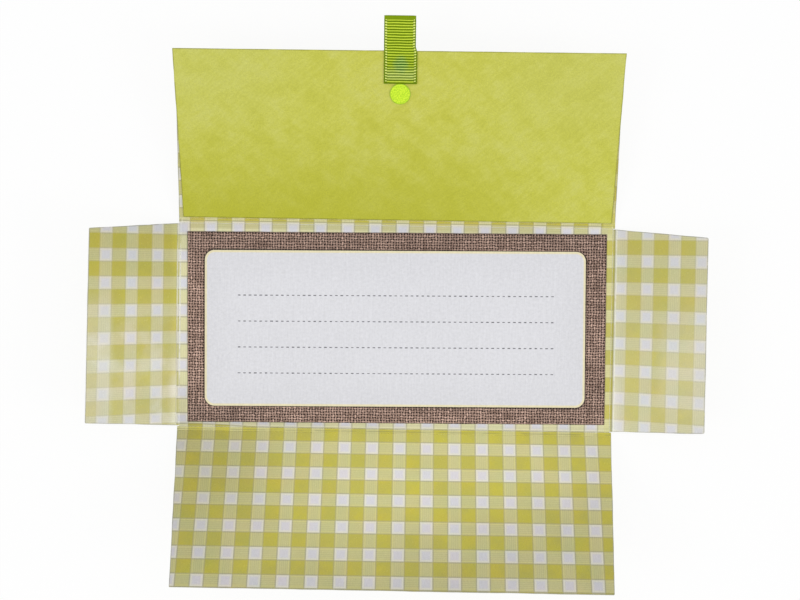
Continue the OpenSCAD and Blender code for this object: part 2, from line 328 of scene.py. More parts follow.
def limePaper(name):
    board = newFinish(name, 0.6, 0.35)
    place, u, v, _ = board.place()
    hue = tints(lime["hues"])
    streak, brush, blotch = (board.grain(board.stretched(place, lime["tilt"] + turn, scale), 1.0, detail, rough)
                             for turn, scale, detail, rough in (lime[k] for k in ("streak", "brush", "blotch")))
    suede = board.grain(place, 1.3, 3.0, 0.7)
    axes = {"u": u, "v": v, "aside": abs(u - lime["centre"]), "ragged": v + 30 * (blotch - 0.5)}
    tone = board.grain(place, 0.028) * 0.25 + blotch * 0.42 + streak * 0.21 + brush * 0.12
    pale = board.smooth(tone + 0.12 * (brush - 0.5), 0.46, 0.66)
    colour = layers(board, hue["deep"], hue, (board.smooth(tone, 0.37, 0.53), "base"), (pale, "pale"),
                    (board.patches(axes, lime["corner"]), "corner"), (board.patches(axes, lime["drift"]), "low"))
    shade = 1 + 0.34 * (suede - 0.5) + 0.12 * (brush - 0.5) + board.flutter(place, 2.6, 2.0, 0.20)
    # painted shade along the liner's cut edge
    shade = shade - 0.42 * board.worn(place, (0.50, 0.12), 0.12, (0.30, 0.5))
    return finished(board, shaded(board, colour, shade), suede + brush + board.grain(place, 6.0, 2.0), 0.30,
                    rough=0.55 + 0.15 * blotch)


def duo(board, grain, colour, dim):  # a colour and its dimmer self, by a grain
    return board.mix(board.smooth(grain, 0.3, 0.7), tint(*(c * dim for c in colour)), tint(*colour))


def paperCore(name, colour):  # the bare cut edge of a sheet
    board = newFinish(name, 0.85, 0.2)
    where = board.node("ShaderNodeTexCoord", out="Object")
    layer = board.grain(board.node("ShaderNodeMapping", {"Vector": where, "Scale": (1, 1, 9)}), 900.0, 3.0)
    return finished(board, duo(board, layer, colour, 0.93), layer, 0.5)


label = {
    "half": (73.4, 30.1), "paintHalf": (73.35, 30.0), "corner": 3.7, "keyWide": 0.75, "keySoft": 0.12,
    "paper": (229, 229, 234), "key": (244, 234, 196), "centre": (-0.22, -0.47), "turn": 0.53,
    "grains": ((0.035, 1.0, 0.04), (2.6, 1.0, 0.10)),
}
burlap = {
    "pitch": 1.06, "pull": 1.0, "gap": (0.17, 0.36), "labelAt": (-0.2, -0.5),
    "drawn": ((0.95, 0.13, 1), (0.13, 0.95, 1)), "grains": ((2.2, 2.0, 0.30), (0.11, 1.0, 0.16)),
    "hues": {"light": (242, 205, 187), "mid": (182, 151, 134), "low": (98, 74, 63), "hole": (12, 6, 3)},
    # painted shade: darker towards the upper edge, the right end and the lower left corner
    "shadePatches": ((0.17, ("y", 20.0, 34.0)), (0.08, ("x", 40.0, 78.0)), (0.20, ("y", -28.0, -33.0), ("x", -36.0, -58.0))),
}


def pastCorner(x, y):  # how far out from the label's corner arcs and its sides
    outX, outY = (abs(at) - (half - label["corner"]) for at, half in zip((x, y), label["paintHalf"]))
    return (outX.most(0.0) ** 2 + outY.most(0.0) ** 2) ** 0.5, outX.most(outY)


def burlapPrint(name):
    board = newFinish(name, 0.62, 0.3)
    place, x, y, _ = board.place()
    hue = tints(burlap["hues"])
    pull = board.node("ShaderNodeTexNoise", {"Vector": place, "Scale": 0.42, "Detail": 2.0}, out=1)
    pulls = board.node("ShaderNodeSeparateColor", {0: pull})
    warpAt, weftAt = ((at + burlap["pull"] * (shift - 0.5)) / burlap["pitch"]
                      for at, shift in ((x, pulls), (y, pulls.out(1))))
    warpGap, weftGap = (board.smooth(abs(at.part() - 0.5), *burlap["gap"]) for at in (warpAt, weftAt))
    hole = warpGap * weftGap * (0.74 + 0.64 * board.spots(place, 0.85, 2.0, 0.25, 0.55))
    # each thread has its own tone, drawn out along its length
    warpTone, weftTone = (board.grain(board.stretched(place, 0, scale), 1.0, 2.0, 0.6) for scale in burlap["drawn"])
    over = board.smooth((warpAt * math.pi).sine() * (weftAt * math.pi).sine(), -0.25, 0.25)
    tone = board.smooth(warpTone * over + weftTone * (1 - over), 0.22, 0.78)
    sunk = (warpGap * over).most(weftGap * (1 - over))
    colour = layers(board, hue["low"], hue, (tone, "light"), (0.25, "mid"), (sunk * 0.95, "low"),
                    (hole.least(1.0), "hole"))
    shade = 1 + board.flutters(place, burlap["grains"])
    # painted shade from these patches and along the mat's cut edge
    shade = shade - board.patches({"x": x, "y": y}, burlap["shadePatches"]) - 0.5 * board.smooth(board.edge(), 0.45, 0.15)
    # painted shadow close under the label
    reach, _ = pastCorner(x - burlap["labelAt"][0], y - burlap["labelAt"][1])
    shade = shade - 0.55 * board.smooth(reach - label["corner"], 0.85, 0.45)
    return finished(board, shaded(board, colour, shade), 1 - hole - 0.4 * sunk, 0.35, 0.00004,
                    0.6 + 0.3 * hole.least(1.0))


def labelPaper(name):
    board = newFinish(name, 0.55, 0.4)
    place, x, y, _ = board.place()
    reach, beyond = pastCorner(x, y)
    inside = label["corner"] - reach - beyond.least(0.0)  # distance in from the label's edge
    wide, soft = label["keyWide"], label["keySoft"]
    key = board.smooth(inside + board.flutter(place, 0.3, 2.0, 0.12), wide + soft, wide - soft)
    felt = board.grain(place, 0.9, 4.0, 0.6)
    shade = 0.985 + board.flutter(board.stretched(place, 0, (1.6, 0.12, 1)), 1.0, 2.0, 0.12)
    shade = shade + 0.26 * (felt - 0.5) - 0.034 * board.smooth(inside, 16.0, 0.0)
    shade = shade + board.flutters(place, label["grains"])
    colour = board.mix(key, tint(*label["paper"]), tint(*label["key"]))
    return finished(board, shaded(board, colour, shade), felt + board.grain(place, 6.0, 2.0), 0.30,
                    rough=0.5 + 0.12 * felt)


def inkFinish(name, low, high):
    board = newFinish(name, 0.6, 0.3)
    wear = board.grain(board.node("ShaderNodeTexCoord", out="Object"), 1600.0, 2.0)
    return finished(board, board.mix(board.smooth(wear, 0.35, 0.7), tint(*low), tint(*high)), wear, 0.2, 0.00001)


# painted light and shade: the ribs' crests take the lit colours, the web between them and the folded end the shaded
# ones
crest, crestLow, groove, grooveLow, foldHue = (
    (239, 255, 96), (199, 225, 44), (116, 146, 6), (82, 106, 0), (142, 166, 26))
ribbonLook = {
    "yarnPitch": 0.26, "stainAt": (60.0, -0.6), "stainHalf": (3.4, 3.0), "upperFrom": 0.2, "pale": (226, 236, 160),
    "grains": ((3.0, 2.0, 0.30), (0.5, 2.0, 0.14)),
    # painted glare near the glued end, and painted shade on the flanks beside it
    "glareEnd": ((1.0, ("x", 60.0, 55.6), ("x", 53.4, 55.2)),), "flankShadeEnd": ((0.30, ("x", 66.0, 60.0)),),
    "rib": {"high": crest, "low": crestLow, "stain": (196, 238, 158), "stained": 0.6, "ended": 0.45, "deep": 0.95},
    "web": {"high": groove, "low": grooveLow, "stain": (36, 100, 30), "stained": 0.9, "ended": 0, "deep": 0.95},
    "fold": {"high": foldHue, "low": groove, "stain": foldHue, "stained": 0, "ended": 0, "deep": 0.95},
    "bead": {"high": (246, 254, 160), "low": crest, "stain": crest, "stained": 0, "ended": 0.2, "deep": 0.35},
}


def ribbonFinish(name, kind):
    board = newFinish(name, 0.75, 0.06)
    place, x, y, z = board.place("ribbonPlace")
    look, upper, axes = ribbonLook[kind], z > ribbonLook["upperFrom"], {"x": x}
    hue = tints({"stain": look["stain"], "groove": groove, "pale": ribbonLook["pale"]})
    # fine warp yarns run along the ribbon, over its ribs
    yarn = 0.5 + 0.5 * (y * 2 * math.pi / ribbonLook["yarnPitch"] + 2.4 * board.grain(place, 0.5, 2.0)).sine()
    strand = 0.6 * board.grain(board.stretched(place, 0, (0.9, 7.0, 1.0)), 1.0, 3.0) + 0.4 * yarn
    colour = board.mix(board.smooth(strand, 0.25, 0.75), tint(*look["low"]), tint(*look["high"]))
    # where the glue under the ribbon shows through, on its upper leg
    offX, offY = (((at - centre) / half) ** 2 for at, centre, half in zip(
        (x, y), ribbonLook["stainAt"], ribbonLook["stainHalf"]))
    glued = board.smooth(offX + offY + board.flutter(place, 0.6, 2.0, 0.9), 1.35, 0.1) * upper
    # painted shade on the ribs' steep flanks
    flankShade = board.smooth(board.node("ShaderNodeAttribute", out="Fac", attribute_name="ribSide"), 0.04, 0.58)
    pale = board.patches(axes, ribbonLook["glareEnd"]) * upper * look["ended"]
    colour = layers(board, colour, hue, (glued * look["stained"], "stain"), (flankShade * look["deep"], "groove"),
                    (pale, "pale"))
    shade = 1 + board.flutters(place, ribbonLook["grains"])
    shade = shade - flankShade * board.patches(axes, ribbonLook["flankShadeEnd"])
    return finished(board, shaded(board, colour, shade), strand, 0.45, 0.00004)


def dotFinish(name, high, low, rim, rough):
    board = newFinish(name, rough, 0.5)
    place, x, y, _ = board.place("dotPlace")
    colour = board.mix(board.spots(place, 1.7, 3.0, 0.38, 0.62, 0.6), tint(*low), tint(*high))
    out = (x ** 2 + y ** 2) ** 0.5 + board.flutter(place, 0.7, 2.0, 0.25)
    # painted shade round the dot's rim
    colour = board.mix(board.smooth(out, 3.45, 3.85) * 0.8, colour, tint(*rim))
    return finished(board, colour, board.grain(place, 4.0, 2.0), 0.3)


def filmFinish(name, colour, rough):
    board = newFinish(name, rough, 0.5)
    bubble = board.grain(board.node("ShaderNodeTexCoord", out="Object"), 700.0, 3.0)
    return finished(board, duo(board, bubble, colour, 0.94), bubble, 0.25, 0.00003, rough + 0.15 * bubble)


finishes = {
    "gingham": ginghamPrint("gingham_card"),
    "lime": limePaper("lime_paper"),
    "core": paperCore("paper_core", (228, 225, 212)),
    "burlap": burlapPrint("burlap_paper"),
    "burlapCore": paperCore("burlap_core", (150, 130, 116)),
    "label": labelPaper("label_paper"),
    "labelCore": paperCore("label_core", (232, 224, 196)),
    "limeCore": paperCore("lime_core", (226, 226, 180)),
    "ink": inkFinish("rule_ink", (104, 104, 110), (136, 136, 142)),
    "rib": ribbonFinish("ribbon_rib", "rib"),
    "web": ribbonFinish("ribbon_web", "web"),
    "fold": ribbonFinish("ribbon_fold", "fold"),
    "bead": ribbonFinish("ribbon_edge", "bead"),
    "hook": dotFinish("hook_plastic", (226, 255, 48), (184, 228, 6), (146, 190, 18), 0.35),
    "loop": dotFinish("loop_fabric", (206, 244, 86), (176, 222, 52), (140, 186, 40), 0.8),
    "tape": filmFinish("tape_film", (238, 234, 216), 0.35),
    "glue": filmFinish("clear_glue", (205, 222, 186), 0.15),
}
print("finishes made:", len(finishes))


def clamped(value):  # kept between 0 and 1
    return min(1.0, max(0.0, value))


handCut = {"step": 2.4, "arcSteps": 3.2, "slow": 0.11, "quick": 0.43, "quickShare": 0.4, "ease": 8}


def roundOff(corners, radii):  # each corner as a short run of points on its arc
    runs = []
    for i, radius in enumerate(radii):
        here = Vector(corners[i])
        back = (Vector(corners[i - 1]) - here).normalized()
        ahead = (Vector(corners[(i + 1) % len(corners)]) - here).normalized()
        if radius <= 0:
            runs.append([here])
            continue
        half = back.angle(ahead) / 2
        centre = here + (back + ahead).normalized() * (radius / math.sin(half))
        start = here + back * (radius / math.tan(half)) - centre
        turn = start.angle_signed(here + ahead * (radius / math.tan(half)) - centre)
        steps = max(3, round(radius * handCut["arcSteps"]))
        runs.append([centre + Matrix.Rotation(-turn * k / steps, 2) @ start for k in range(steps + 1)])
    return runs


def cutLine(corners, look):  # a sheet's outline, with its hand-cut edges
    runs = roundOff(corners, look["rounds"])
    points = []
    for i, run in enumerate(runs):
        points += run
        start, end = run[-1], runs[(i + 1) % len(runs)][0]
        span = end - start
        side = Vector((span.y, -span.x)).normalized()
        count = max(1, round(span.length / look.get("step", handCut["step"])))
        for k in range(1, count):
            t = k / count
            ease = min(1.0, handCut["ease"] * t, handCut["ease"] * (1 - t))
            wave = noise.noise(Vector((t * span.length * handCut["slow"], look["seed"] + i * 7.31, 0.5)))
            wave += handCut["quickShare"] * noise.noise(
                Vector((t * span.length * handCut["quick"], look["seed"] + i * 3.77, 4.5)))
            points.append(start + span * t + side * (look["waves"][i] * wave * ease))
    return points


def settled(thing):  # a piece's modifiers worked into its mesh
    bpy.context.view_layer.update()
    graph = bpy.context.evaluated_depsgraph_get()
    mesh = bpy.data.meshes.new_from_object(thing.evaluated_get(graph), preserve_all_data_layers=True,
                                           depsgraph=graph)
    bpy.data.objects.remove(thing)
    return mesh


def newThing(name, mesh):
    thing = bpy.data.objects.new(name, mesh)
    bpy.context.scene.collection.objects.link(thing)
    return thing


def newMesh(name, points, edges=(), faces=(), coats=()):
    mesh = bpy.data.meshes.new(name)
    mesh.from_pydata(points, edges, faces)
    for key in coats:
        mesh.materials.append(finishes[key])
    return mesh


def sheetMesh(name, look, segments=3, angle=50):  # a cut sheet with its thickness and bevelled edges
    outline = cutLine(look["corners"], look)
    flat = bmesh.new()
    flat.faces.new([flat.verts.new((p[0], p[1], 0)) for p in outline])
    for axis, extra in enumerate((look.get("cuts", ()), ())):
        low = min(p[axis] for p in outline) + look["margin"][axis]
        high = max(p[axis] for p in outline) - look["margin"][axis]
        count = max(1, round((high - low) / look["spacing"]))
        for at in [low + (high - low) * k / count for k in range(count + 1)] + list(extra):
            normal = (1, 0, 0) if axis == 0 else (0, 1, 0)
            bmesh.ops.bisect_plane(flat, geom=flat.verts[:] + flat.edges[:] + flat.faces[:],
                                   plane_co=[c * at for c in normal], plane_no=normal, dist=1e-5)
    flat.verts.index_update()
    total = len(flat.verts)
    points = [(v.co.x, v.co.y, look["base"] + height) for height in (look["thick"], 0) for v in flat.verts]
    faces = []
    for face in flat.faces:
        ring = [v.index for v in face.verts]
        if face.normal.z < 0:
            ring.reverse()
        faces += [ring, [total + i for i in reversed(ring)]]
    for rim in (e for e in flat.edges if len(e.link_faces) == 1):
        loop = rim.link_loops[0]
        a, b = loop.vert.index, loop.link_loop_next.vert.index
        if rim.link_faces[0].normal.z < 0:
            a, b = b, a
        faces.append([a, total + a, total + b, b])
    flat.free()
    thing = newThing(name, newMesh(name, points, faces=faces))
    bevel = thing.modifiers.new("edge", "BEVEL")
    bevel.width, bevel.segments, bevel.limit_method = look["bevel"], segments, "ANGLE"
    bevel.angle_limit = math.radians(angle)
    return settled(thing)


def ringFaces(count, rings):  # faces between rings of points that follow each other
    faces = []
    for j in range(rings - 1):
        for k in range(count):
            a, b = j * count + k, j * count + (k + 1) % count
            faces.append((a, a + count, b + count, b))
    return faces


def faceOut(mesh):  # turns every face outwards
    shell = bmesh.new()
    shell.from_mesh(mesh)
    bmesh.ops.recalc_face_normals(shell, faces=shell.faces[:])
    shell.to_mesh(mesh)
    shell.free()


def shadeSmooth(mesh, angle):
    for face in mesh.polygons:
        face.use_smooth = True
    mesh.set_sharp_from_angle(angle=math.radians(angle))


def flatPlace(p):
    return p.x, p.y, 0


def addPlace(mesh, where, name="sheetPlace"):  # a point attribute that materials read
    attribute = mesh.attributes.new(name, "FLOAT_VECTOR", "POINT")
    for vertex, value in zip(mesh.vertices, attribute.data):
        value.vector = where(vertex.co)


def addEdge(mesh, corners=(), free=()):  # distance in from the free sides, opposite ones paired
    lines = {}
    for i in free:
        start = Vector(corners[i])
        run = (Vector(corners[(i + 1) % 4]) - start).normalized()
        lines[i] = start, Vector((-run.y, run.x))

    def inwards(p):
        away = [(p.xy - lines[i][0]).dot(lines[i][1]) if i in lines else 500.0 for i in range(4)]
        return min(away[::2]), min(away[1::2]), 0
    addPlace(mesh, inwards, "edgeIn")


def coat(mesh, names):  # upper face, lower face and cut edge
    for name in names:
        mesh.materials.append(finishes[name])
    for face in mesh.polygons:
        up = face.normal.z
        face.material_index = 0 if up > 0.8 else (1 if up < -0.8 else 2)
    shadeSmooth(mesh, angle=14)


def placePiece(name, mesh, matrix, body, slot, stands=()):
    mesh.transform(millimetres @ matrix)
    mesh.update()
    piece = newThing(name, mesh)
    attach(piece, body)
    if stands:
        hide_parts(*stands)


def makeSheet(name, look, where, matrix, body, lift=None):  # with lift for one that isn't quite flat
    mesh = sheetMesh(name, look)
    addPlace(mesh, where)
    addEdge(mesh, look["corners"], look["free"])
    for vertex in mesh.vertices if lift else ():
        vertex.co.z += lift(vertex.co)
    coat(mesh, look["coats"])
    placePiece(name, mesh, matrix, body, look["slot"], (look["node"],))


def newGrowth(name, sizes):  # a geometry tree with named inputs
    tree = bpy.data.node_groups.new(name, "GeometryNodeTree")
    for way in ("INPUT", "OUTPUT"):
        tree.interface.new_socket(name="Geometry", in_out=way, socket_type="NodeSocketGeometry")
    for key, value in sizes.items():
        kind = "NodeSocketInt" if isinstance(value, int) else "NodeSocketFloat"
        tree.interface.new_socket(name=key, in_out="INPUT", socket_type=kind)
    board = Board(tree)
    source = board.node("NodeGroupInput")
    return board, source, {key: source.out(key) for key in sizes}


def endGrowth(board, pieces, finish):  # real geometry, with its finish set
    merged = board.node("GeometryNodeJoinGeometry")
    for piece in reversed(pieces):
        board.tree.links.new(piece.socket, merged.made.inputs[0])
    real = board.node("GeometryNodeRealizeInstances", {0: merged})
    done = board.node("GeometryNodeSetMaterial", {"Geometry": real, "Material": finishes[finish]})
    board.node("NodeGroupOutput", {0: done})
    return board


def along(board, source, pitch, shape, low, high, seed):  # copies of a shape set out along paths
    line = board.node("GeometryNodeMeshToCurve", {0: source})
    spots = board.node("GeometryNodeResampleCurve", {"Curve": line, "Length": pitch}, mode="LENGTH")
    vary = board.node("FunctionNodeRandomValue", {0: low, 1: high, "Seed": seed}, data_type="FLOAT_VECTOR")
    turn = board.node("FunctionNodeAlignRotationToVector", {"Vector": board.node("GeometryNodeInputTangent")},
                      axis="X", pivot_axis="Z")
    return board.node("GeometryNodeInstanceOnPoints", {
        "Points": spots, "Instance": shape, "Rotation": turn, "Scale": vary})


def tube(board, path, resolution, radius):  # a capped tube along a curve
    ring = board.node("GeometryNodeCurvePrimitiveCircle", {"Resolution": resolution, "Radius": radius})
    return board.node("GeometryNodeCurveToMesh", {"Curve": path, "Profile Curve": ring, "Fill Caps": True})


def moved(board, shape, **how):
    return board.node("GeometryNodeTransform", {"Geometry": shape, **how})


def grow(name, carrier, board, sizes):  # runs a tree on a carrier and keeps the result
    thing = newThing(name, carrier)
    modifier = thing.modifiers.new("growth", "NODES")
    modifier.node_group = board.tree
    for item in board.tree.interface.items_tree:
        if item.in_out == "INPUT" and item.name in sizes:
            modifier[item.identifier] = sizes[item.name]
    return settled(thing)


def pathMesh(name, runs):  # open runs of points, as edges only
    points, edges = [], []
    for run in runs:
        edges += [(len(points) + k, len(points) + k + 1) for k in range(len(run) - 1)]
        points += run
    return newMesh(name, points, edges)


# The camera is fitted to the photo: focal length in pixels, turn as a rotation vector, shift in millimetres.

cameraFit = {
    "focal": 1408.673, "wide": 800, "sensor": 36, "height": 0.0003, "clip": (0.01, 100),
    "turn": (0.0318, -0.0051, -0.0148), "shift": (-1.7527, -10.6915, -544.1965),
}
turn = Vector(cameraFit["turn"])
toCamera = Matrix.Translation(Vector(cameraFit["shift"]) * 0.001) @ Matrix.Rotation(turn.length, 4, turn.normalized())
camera = newThing("camera", bpy.data.cameras.new("camera"))
camera.matrix_world = Matrix.Translation((0, 0, cameraFit["height"])) @ toCamera.inverted()
camera.data.lens = cameraFit["focal"] * cameraFit["sensor"] / cameraFit["wide"]
camera.data.sensor_width = cameraFit["sensor"]
camera.data.clip_start, camera.data.clip_end = cameraFit["clip"]
bpy.context.scene.camera = camera
bpy.context.scene.view_settings.view_transform = "Standard"

lighting = {
    "skyLevel": 0.748, "boxPower": (2.7, 3.5), "boxSize": 0.46,
    "boxes": ((-0.95, -0.30, 0.87), (1.05, -0.40, 0.68)),
}
for number, spot in enumerate(lighting["boxes"]):
    box = bpy.data.lights.new("softbox%d" % number, "AREA")
    box.shape, box.size, box.energy = "SQUARE", lighting["boxSize"], lighting["boxPower"][number]
    lamp = newThing(box.name, box)
    lamp.location = spot
    lamp.rotation_euler = (-Vector(spot)).to_track_quat("-Z", "Y").to_euler()


def looking(board):  # 1 for rays that come from the camera, also by way of a piece
    rays = board.node("ShaderNodeLightPath", out="Is Camera Ray")
    return rays.most(rays.out("Is Glossy Ray")).most(rays.out("Is Transmission Ray"))


plainWhite = (1, 1, 1, 1)
world = bpy.data.worlds.new("studio")
bpy.context.scene.world = world
sky = bareBoard(world)
glow = sky.node("ShaderNodeBackground", {
    "Color": plainWhite, "Strength": looking(sky) * (1 - lighting["skyLevel"]) + lighting["skyLevel"]})
sky.node("ShaderNodeOutputWorld", {"Surface": glow})

floorLook = {"half": 4.0, "drop": -0.0007, "level": 0.97, "whiteShare": 0.91}
floorMesh = newMesh("floor", [(x * floorLook["half"], y * floorLook["half"], floorLook["drop"])
                              for x, y in ((-1, -1), (1, -1), (1, 1), (-1, 1))], faces=[(0, 1, 2, 3)])
floor = newThing("floor", floorMesh)
floorFinish = bpy.data.materials.new("floor_white")
ground = bareBoard(floorFinish)
matt = ground.node("ShaderNodeBsdfDiffuse", {"Color": (floorLook["level"],) * 3 + (1,)})
bright = ground.node("ShaderNodeEmission", {"Color": plainWhite, "Strength": 1.0})
ground.node("ShaderNodeOutputMaterial", {"Surface": ground.node("ShaderNodeMixShader", {
    0: looking(ground) * floorLook["whiteShare"], 1: matt, 2: bright})})
floorMesh.materials.append(floorFinish)
print("camera, lights and floor set")


# Where each fold's strip and flap lie.

card = {"thick": 0.3, "edge": 0.18, "bevel": 0.05, "coats": ("gingham", "lime", "core"), "slot": "gingham_card"}
folds = {side: {"turn": turn, "depth": depth, "lift": lift, "across": across} for side, turn, depth, lift, across in (
    ("right", 0, 1.0, 28, 168.0), ("left", 180, 1.0, 33, 168.0),
    ("bottom", -90, 1.45, 29, 80.5), ("top", 90, 1.6, 13.5, 80.5))}
for fold in folds.values():
    fold["score"] = (fold["across"] - fold["depth"]) / 2
    half = Matrix.Rotation(-math.radians(fold["lift"]) / 2, 4, "Y")
    start = Matrix.Translation((fold["score"], 0, card["thick"] / 2))
    fold["spin"] = Matrix.Rotation(math.radians(fold["turn"]), 4, "Z")
    fold["strip"] = fold["spin"] @ start @ half
    fold["flap"] = fold["strip"] @ Matrix.Translation((fold["depth"], 0, 0)) @ half


def unfolded(side, past):  # from a strip's or flap's own place to the flat sheet
    fold = folds[side]
    return lambda p: fold["spin"] @ Vector((fold["score"] + past + p.x, p.y, 0))


rippleWaves = (1, 0.021, 0), (0.35, 0.06, 5)  # share, how quickly it changes, shift of the seed


def ripple(amount, seed, start, ease=9.0):  # slow waves that die away at the fold
    def lift(p):
        wave = sum(share * noise.noise(Vector((p.x * quick, p.y * quick, seed + shift)))
                   for share, quick, shift in rippleWaves)
        return amount * wave * clamped((p.x - start) / ease)
    return lift


panelLook = {
    **card, "base": 0, "spacing": 7.0, "margin": (5, 5), "rounds": (0,) * 4, "waves": (0,) * 4, "seed": 1, "step": 6,
    "free": (), "node": "back_panel", "scoreAt": 81.95, "scoreDeep": 0.045, "scoreWide": 0.16,
}
low, high, right = (sign * (folds[side]["score"] - card["edge"]) for side, sign in (
    ("bottom", -1), ("top", 1), ("right", 1)))
panelLook["corners"] = ((-right, low), (right, low), (right, high), (-right, high))
panelLook["cuts"] = [panelLook["scoreAt"] + k * panelLook["scoreWide"] for k in (-1, -0.5, 0, 0.5, 1)]


def pressed(p):  # a score line that was pressed and then not used
    depth = math.exp(-((p.x - panelLook["scoreAt"]) / (0.5 * panelLook["scoreWide"])) ** 2)
    return -panelLook["scoreDeep"] * depth if p.z > card["thick"] / 2 else 0


makeSheet("panel_card", panelLook, flatPlace, Matrix(), "panel", pressed)
print("panel made")


flapSheet = {**card, "base": -card["thick"] / 2, "spacing": 6.0, "margin": (3.0, 4.2), "free": (0, 1, 2),
             "cuts": [card["edge"] + cut for cut in (0.4, 1.2)], "ripple": 0.05, "rippleFrom": 1.5}
flapLook = {
    # corners from the fold's outer score: start at the root, run out along -y and come back along +y
    side: {"tip": tip, "root": root, "waves": (*waves, 0), "rounds": (0, tipRound, tipRound, 0), "seed": seed}
    for side, tip, root, waves, tipRound, seed in (
        ("right", (36.22, -37.25, 36.22, 36.20), 39.1, (0.22, 0.10, 0.24), 0.7, 11),
        ("left", (35.72, -36.50, 36.75, 36.45), 39.1, (0.26, 0.10, 0.20), 0.45, 23),
        ("bottom", (61.93, -81.65, 62.33, 82.05), 84.0, (0.12, 0.10, 0.12), 0.4, 37),
        ("top", (65.1, -84.05, 64.9, 83.75), 84.0, (0.10, 0.05, 0.10), 0.3, 41))
}
stripLook = {"steps": 90, "flat": 6, "round": 6, "crack": 0.012, "grain": (3, 1.3, 9)}


def makeStrip(side):
    fold, halfLong = folds[side], flapLook[side]["root"]
    radius, depth, name = card["thick"] / 2, fold["depth"], side + "_fold_strip"
    turns, flat = [math.pi * k / stripLook["round"] for k in range(1, stripLook["round"])], stripLook["flat"]
    ring = [(depth * k / flat, radius) for k in range(flat + 1)]
    ring += [(depth + radius * math.sin(turn), radius * math.cos(turn)) for turn in turns]
    ring += [(depth * (1 - k / flat), -radius) for k in range(flat + 1)]
    ring += [(-radius * math.sin(turn), -radius * math.cos(turn)) for turn in turns]
    points, count, steps, grain = [], len(ring), stripLook["steps"], stripLook["grain"]
    for j in range(steps + 1):
        y = -halfLong + 2 * halfLong * j / steps
        for x, z in ring:
            crack = abs(noise.noise(Vector((x * grain[0], y * grain[1], z * grain[2] + halfLong))))
            rough = 1 - stripLook["crack"] / radius * crack
            points.append((depth / 2 + (x - depth / 2) * (1 if 0 < x < depth else rough), y, z * rough))
    ends = [list(range(count)), [steps * count + k for k in reversed(range(count))]]
    mesh = newMesh(name, points, faces=ringFaces(count, steps + 1) + ends, coats=card["coats"])
    mesh.update()
    faceOut(mesh)
    addPlace(mesh, unfolded(side, 0))
    addEdge(mesh)
    for face in mesh.polygons:
        face.material_index = 2 if abs(face.normal.y) > 0.7 else (0 if face.normal.z > -0.25 else 1)
        face.use_smooth = abs(face.normal.y) < 0.7
    placePiece(name, mesh, fold["strip"], side + "_fold", "gingham_card", (side + "_fold",))


def makeFlap(side):
    look, fold, edge, flap = {**flapSheet, **flapLook[side]}, folds[side], card["edge"], side + "_flap"
    tip, root = look["tip"], look["root"]
    look.update(corners=((edge, -root), tip[:2], tip[2:], (edge, root)), node=flap)
    waves = ripple(look["ripple"], look["seed"], look["rippleFrom"])
    makeSheet(flap + "_card", look, unfolded(side, fold["depth"]), fold["flap"], flap, waves)


for side in folds:
    makeStrip(side)
    makeFlap(side)
print("fold strips and flaps made")


pastedSheet = {"thick": 0.2, "bevel": 0.04, "free": (0, 1, 2, 3)}
matLook = {**pastedSheet, "corners": ((-80.0, -37.6), (81.3, -36.45), (80.95, 37.15), (-80.75, 36.05)),
           "base": 0.4, "spacing": 8.0, "margin": (3, 3), "rounds": (0.15,) * 4, "waves": (0.08, 0.06, 0.08, 0.06),
           "seed": 53, "coats": ("burlap", "label", "burlapCore"), "slot": "burlap_paper", "node": "burlap_mat",
           "turn": 0.35}
matSpin = Matrix.Rotation(-math.radians(matLook["turn"]), 3, "Z")
labelX, labelY = label["half"]
labelSheet = {"base": 0.7, "thick": 0.15, "bevel": 0.03, "spacing": 9.0, "margin": (5, 5), "step": 4, "free": (),
              "corners": ((-labelX, -labelY), (labelX, -labelY), (labelX, labelY), (-labelX, labelY)),
              "rounds": (label["corner"],) * 4, "waves": (0.03,) * 4, "seed": 61, "curl": 0.02, "curlEase": 12,
              "curlGrain": (0.03, 8),
              "coats": ("label", "label", "labelCore"), "slot": "label_paper", "node": "writing_label"}
labelFrame = Matrix.Translation((*label["centre"], 0)) @ Matrix.Rotation(math.radians(label["turn"]), 4, "Z")
ruleSizes = {"Dash Pitch": 2.061, "Dash Length": 1.0, "Dash Width": 0.40, "Seed": 7}
ruleLook = {"long": 60.4, "first": 12.77, "gap": 10.03, "shift": 0.28, "count": 4, "above": 0.004, "flatten": 0.05,
            "vary": ((0.85, 0.75, 1), (1.1, 1.1, 1))}


def curled(p):  # the label's own relief, none at its edge
    reach, (quick, seed) = labelSheet["curlEase"], labelSheet["curlGrain"]
    ease = min(1, (labelX - abs(p.x)) / reach, (labelY - abs(p.y)) / reach)
    return labelSheet["curl"] * noise.noise(Vector((p.x * quick, p.y * quick, seed))) * ease


def makeRules():
    board, source, size = newGrowth("dashedRules", ruleSizes)
    start, end = (board.triple(size["Dash Length"] * sign) for sign in (-0.5, 0.5))
    stroke = board.node("GeometryNodeCurvePrimitiveLine", {"Start": start, "End": end})
    dash = tube(board, stroke, 8, size["Dash Width"] * 0.5)
    dash = moved(board, dash, Scale=(1, 1, ruleLook["flatten"]))
    dashes = along(board, source, size["Dash Pitch"], dash, *ruleLook["vary"], size["Seed"])
    endGrowth(board, [dashes], "ink")
    top = labelSheet["base"] + labelSheet["thick"] + ruleLook["above"]
    runs = [[(sign * ruleLook["long"] + ruleLook["shift"], ruleLook["first"] - k * ruleLook["gap"], top)
             for sign in (-1, 1)] for k in range(ruleLook["count"])]
    mesh = grow("label_rules", pathMesh("label_rules", runs), board, ruleSizes)
    placePiece("label_rules", mesh, labelFrame, "panel", "label_paper")


makeSheet("burlap_mat_sheet", matLook, lambda p: matSpin @ p, Matrix(), "panel")
makeSheet("writing_label_sheet", labelSheet, flatPlace, labelFrame, "panel", curled)
makeRules()
print("mat, label and its rules made")


